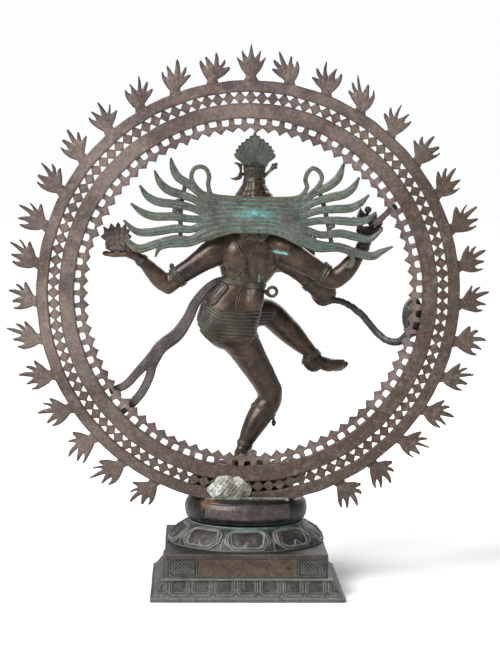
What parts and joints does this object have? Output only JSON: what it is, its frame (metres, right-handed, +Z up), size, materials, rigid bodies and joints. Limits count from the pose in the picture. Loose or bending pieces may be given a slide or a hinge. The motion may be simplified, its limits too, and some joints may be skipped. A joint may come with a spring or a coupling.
{
  "type": "nataraja statue",
  "caption": "Standing bronze figure of a four-armed dancer on a dwarf, inside a pierced flaming ring, on a two-tier lotus pedestal.",
  "frame": {"origin": "centre of the pedestal's footprint, on the surface it stands on", "axes": "+Z up; the figure faces -Y, so the ring's back is towards +Y; +X is the figure's own left"},
  "size_m": [0.8792, 0.28, 1],
  "materials": {
    "pedestal_bronze": "dark brown-green patina with pale verdigris in the incised lines",
    "ring_bronze": "purple-brown patina with ochre patches",
    "figure_bronze": "dark chocolate patina, rubbed warm brown on the high places",
    "hair_bronze": "grey-green patina with turquoise verdigris",
    "ornament_bronze": "dark patina with green in the hollows",
    "mortar": "rough, chalky"
  },
  "bodies": {
    "root": {"base_plinth": "pedestal_bronze", "pedestal_slab": "pedestal_bronze", "pedestal_dowels": "ornament_bronze", "lotus_bell": "pedestal_bronze", "lotus_cushion": "pedestal_bronze", "cushion_back_plate": "pedestal_bronze", "ring_foot_ledge": "mortar", "ring_mortar": "mortar", "ring_tenons": "ring_bronze", "dwarf_body": "figure_bronze", "dwarf_head": "figure_bronze", "ring_outer_band": "ring_bronze", "ring_lattice": "ring_bronze", "ring_middle_band": "ring_bronze", "ring_toothed_border": "ring_bronze", "ring_flames_left": "ring_bronze", "ring_flames_right": "ring_bronze", "ring_top_flame": "ring_bronze", "torso": "figure_bronze", "head": "figure_bronze", "crown_band": "ornament_bronze", "crown_fan": "hair_bronze", "crescent_moon": "figure_bronze", "datura_flower": "hair_bronze", "ear_ornaments": "ornament_bronze", "hair_band": "hair_bronze", "hair_locks_left": "hair_bronze", "hair_locks_right": "hair_bronze", "hair_ties": "hair_bronze", "hair_rivet": "hair_bronze", "rear_left_arm": "figure_bronze", "flame_hand": "figure_bronze", "hand_flame": "hair_bronze", "rear_right_arm": "figure_bronze", "drum_hand": "figure_bronze", "hand_drum": "ornament_bronze", "drum_strut": "ring_bronze", "front_right_arm": "figure_bronze", "blessing_hand": "figure_bronze", "front_left_arm": "figure_bronze", "pointing_hand": "figure_bronze", "armlets": "ornament_bronze", "bracelets": "ornament_bronze", "snake": "ornament_bronze", "standing_thigh": "figure_bronze", "standing_shin": "figure_bronze", "standing_foot": "figure_bronze", "knee_band": "ornament_bronze", "raised_thigh": "figure_bronze", "raised_shin": "figure_bronze", "raised_foot": "figure_bronze", "anklets": "ornament_bronze", "waist_belt": "ornament_bronze", "hip_cloth": "ornament_bronze", "sacred_thread": "ornament_bronze", "nape_rosette": "ornament_bronze", "necklace": "ornament_bronze", "belt_curl": "ornament_bronze", "forked_sash": "ornament_bronze"}
  },
  "joints": []
}
